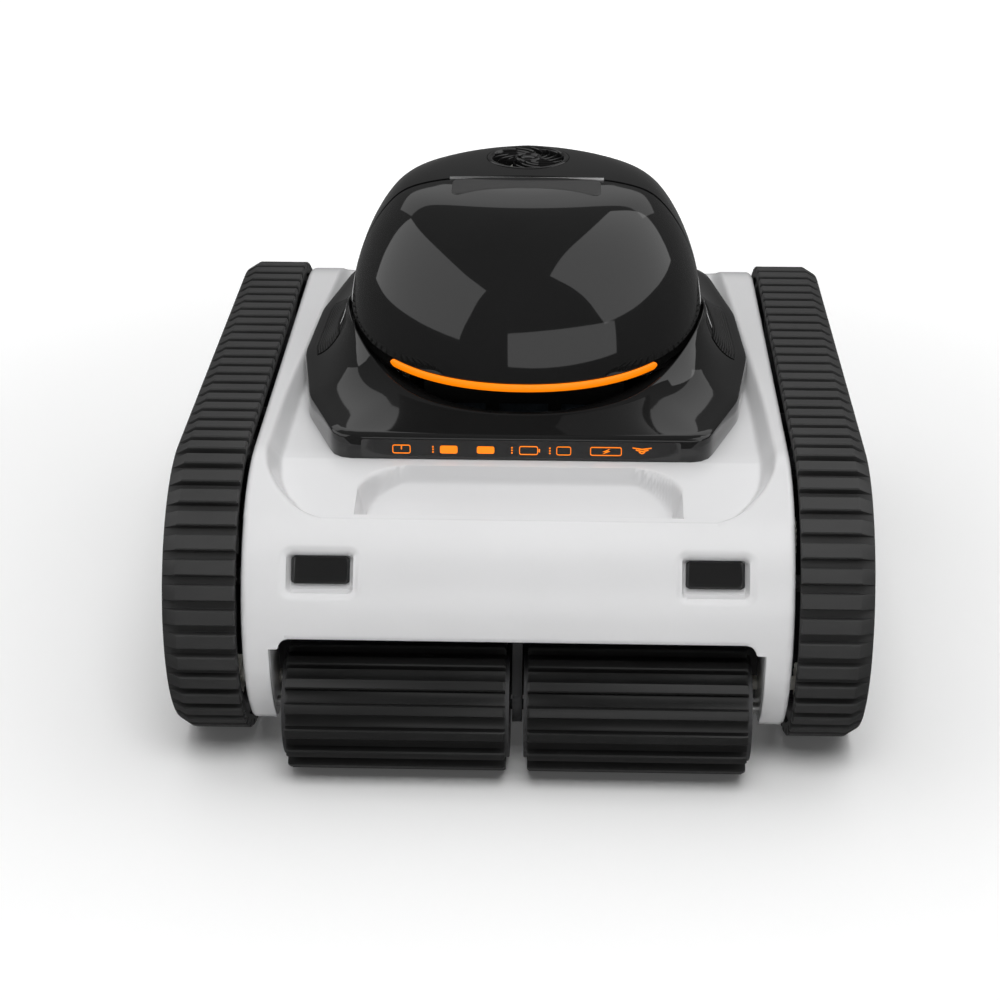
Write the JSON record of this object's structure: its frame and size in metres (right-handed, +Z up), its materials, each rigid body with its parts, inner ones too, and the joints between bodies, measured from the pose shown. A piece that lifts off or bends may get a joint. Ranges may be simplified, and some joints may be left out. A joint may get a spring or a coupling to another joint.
{
  "type": "robotic pool cleaner",
  "caption": "Cordless robotic pool cleaner on two rubber tracks, with finned front brush rollers, a domed hinged lid over a filter basket and a pump.",
  "frame": {"origin": "on the floor, at the centre of the footprint", "axes": "+X to the right seen from behind the brushes looking to the rear, +Y from front to back, +Z up"},
  "size_m": [0.39, 0.474, 0.288],
  "materials": {
    "black_rubber": "matte",
    "white_gloss": "gloss",
    "black_gloss": "high gloss",
    "dark_plastic": "matte",
    "grey_plastic": "matte",
    "soft_black": "satin",
    "orange_light": "lit",
    "steel": "brushed",
    "nylon_gear": "satin",
    "motor_can": "satin",
    "green_board": "satin",
    "white_foam": "matte",
    "blue_mesh": "woven",
    "battery_blue": "satin",
    "smoked_lens": "gloss"
  },
  "bodies": {
    "body": {"lower_chassis": "dark_plastic", "upper_shell": "white_gloss", "dome_base": "black_gloss", "rear_cover": "black_gloss", "hinge_pin": "steel", "lid_gasket": "soft_black", "display_window": "smoked_lens", "touch_board": "green_board", "outlet_grille": "dark_plastic", "pump_motor": "motor_can", "shaft_seal": "soft_black", "motor_mount": "dark_plastic", "filter_frame": "grey_plastic", "filter_mesh": "blue_mesh", "inlet_mouth": "grey_plastic", "battery_pack": "battery_blue", "control_box": "dark_plastic", "charge_port": "dark_plastic", "float_blocks": "white_foam", "sensor_windows": "smoked_lens", "wheel_axles": "steel", "brush_bracket": "dark_plastic", "brush_pins": "steel", "belly_screws": "steel", "track_belt_right": "black_rubber", "side_beam_right": "dark_plastic", "gearmotor_right": "motor_can", "side_grille_right": "dark_plastic", "track_belt_left": "black_rubber", "side_beam_left": "dark_plastic", "gearmotor_left": "motor_can", "side_grille_left": "dark_plastic"},
    "lid": {"lid": "black_gloss", "light_strip": "orange_light", "hinge_bar": "grey_plastic", "lid_catch": "dark_plastic"},
    "impeller": {"impeller": "nylon_gear"},
    "front_inlet_flap": {"front_inlet_flap": "soft_black"},
    "rear_inlet_flap": {"rear_inlet_flap": "soft_black"},
    "charge_cover": {"charge_cover": "soft_black"},
    "front_wheel_right": {"front_wheel_right": "dark_plastic", "front_hub_cap_right": "grey_plastic"},
    "rear_wheel_right": {"rear_wheel_right": "dark_plastic", "rear_hub_cap_right": "grey_plastic"},
    "drive_pinion_right": {"drive_pinion_right": "nylon_gear"},
    "jack_shaft_right": {"jack_shaft_right": "nylon_gear"},
    "brush_right": {"brush_core_right": "dark_plastic", "brush_sleeve_right": "soft_black"},
    "front_support_roller_right": {"front_support_roller_right": "dark_plastic"},
    "rear_support_roller_right": {"rear_support_roller_right": "dark_plastic"},
    "front_wheel_left": {"front_wheel_left": "dark_plastic", "front_hub_cap_left": "grey_plastic"},
    "rear_wheel_left": {"rear_wheel_left": "dark_plastic", "rear_hub_cap_left": "grey_plastic"},
    "drive_pinion_left": {"drive_pinion_left": "nylon_gear"},
    "jack_shaft_left": {"jack_shaft_left": "nylon_gear"},
    "brush_left": {"brush_core_left": "dark_plastic", "brush_sleeve_left": "soft_black"},
    "front_support_roller_left": {"front_support_roller_left": "dark_plastic"},
    "rear_support_roller_left": {"rear_support_roller_left": "dark_plastic"}
  },
  "joints": [
    {"name": "lid_hinge", "type": "hinge", "parent": "body", "child": "lid", "pos_m": [0, 0.008, 0.2843], "axis": [-1, 0, 0], "range_deg": [0, 75]},
    {"name": "impeller_spin", "type": "hinge", "parent": "body", "child": "impeller", "pos_m": [0, 0.046, 0.192], "axis": [0, 0, 1], "continuous": true},
    {"name": "front_flap_lift", "type": "hinge", "parent": "body", "child": "front_inlet_flap", "pos_m": [0, -0.0415, 0.051], "axis": [1, 0, 0], "range_deg": [0, 75]},
    {"name": "rear_flap_lift", "type": "hinge", "parent": "body", "child": "rear_inlet_flap", "pos_m": [0, -0.0105, 0.051], "axis": [-1, 0, 0], "range_deg": [0, 75]},
    {"name": "charge_cover_swing", "type": "hinge", "parent": "body", "child": "charge_cover", "pos_m": [0.06, 0.2342, 0.0738], "axis": [1, 0, 0], "range_deg": [0, 100]},
    {"name": "front_wheel_right_spin", "type": "hinge", "parent": "body", "child": "front_wheel_right", "pos_m": [0.17475, -0.14, 0.088], "axis": [1, 0, 0], "continuous": true},
    {"name": "rear_wheel_right_spin", "type": "hinge", "parent": "body", "child": "rear_wheel_right", "pos_m": [0.17475, 0.149, 0.088], "axis": [1, 0, 0], "continuous": true},
    {"name": "front_support_roller_right_spin", "type": "hinge", "parent": "body", "child": "front_support_roller_right", "pos_m": [0.17475, -0.0255, 0.0238], "axis": [1, 0, 0], "continuous": true},
    {"name": "rear_support_roller_right_spin", "type": "hinge", "parent": "body", "child": "rear_support_roller_right", "pos_m": [0.17475, 0.0345, 0.0238], "axis": [1, 0, 0], "continuous": true},
    {"name": "drive_pinion_right_spin", "type": "hinge", "parent": "body", "child": "drive_pinion_right", "pos_m": [0.1575, -0.08, 0.088], "axis": [1, 0, 0], "continuous": true},
    {"name": "jack_shaft_right_spin", "type": "hinge", "parent": "body", "child": "jack_shaft_right", "pos_m": [0.1575, -0.18723, 0.04861], "axis": [1, 0, 0], "continuous": true},
    {"name": "brush_right_spin", "type": "hinge", "parent": "body", "child": "brush_right", "pos_m": [0.0675, -0.199, 0.0388], "axis": [1, 0, 0], "continuous": true},
    {"name": "front_wheel_left_spin", "type": "hinge", "parent": "body", "child": "front_wheel_left", "pos_m": [-0.17475, -0.14, 0.088], "axis": [1, 0, 0], "continuous": true},
    {"name": "rear_wheel_left_spin", "type": "hinge", "parent": "body", "child": "rear_wheel_left", "pos_m": [-0.17475, 0.149, 0.088], "axis": [1, 0, 0], "continuous": true},
    {"name": "front_support_roller_left_spin", "type": "hinge", "parent": "body", "child": "front_support_roller_left", "pos_m": [-0.17475, -0.0255, 0.0238], "axis": [1, 0, 0], "continuous": true},
    {"name": "rear_support_roller_left_spin", "type": "hinge", "parent": "body", "child": "rear_support_roller_left", "pos_m": [-0.17475, 0.0345, 0.0238], "axis": [1, 0, 0], "continuous": true},
    {"name": "drive_pinion_left_spin", "type": "hinge", "parent": "body", "child": "drive_pinion_left", "pos_m": [-0.1575, -0.08, 0.088], "axis": [1, 0, 0], "continuous": true},
    {"name": "jack_shaft_left_spin", "type": "hinge", "parent": "body", "child": "jack_shaft_left", "pos_m": [-0.1575, -0.18723, 0.04861], "axis": [1, 0, 0], "continuous": true},
    {"name": "brush_left_spin", "type": "hinge", "parent": "body", "child": "brush_left", "pos_m": [-0.0675, -0.199, 0.0388], "axis": [1, 0, 0], "continuous": true}
  ],
  "couplings": [
    {"joint": "rear_wheel_right_spin", "follows": "front_wheel_right_spin", "ratio": 1},
    {"joint": "front_support_roller_right_spin", "follows": "front_wheel_right_spin", "ratio": 5.0125},
    {"joint": "rear_support_roller_right_spin", "follows": "front_wheel_right_spin", "ratio": 5.0125},
    {"joint": "drive_pinion_right_spin", "follows": "front_wheel_right_spin", "ratio": 6},
    {"joint": "jack_shaft_right_spin", "follows": "front_wheel_right_spin", "ratio": 6.8571},
    {"joint": "brush_right_spin", "follows": "front_wheel_right_spin", "ratio": 2.7429},
    {"joint": "rear_wheel_left_spin", "follows": "front_wheel_left_spin", "ratio": 1},
    {"joint": "front_support_roller_left_spin", "follows": "front_wheel_left_spin", "ratio": 5.0125},
    {"joint": "rear_support_roller_left_spin", "follows": "front_wheel_left_spin", "ratio": 5.0125},
    {"joint": "drive_pinion_left_spin", "follows": "front_wheel_left_spin", "ratio": 6},
    {"joint": "jack_shaft_left_spin", "follows": "front_wheel_left_spin", "ratio": 6.8571},
    {"joint": "brush_left_spin", "follows": "front_wheel_left_spin", "ratio": 2.7429}
  ]
}
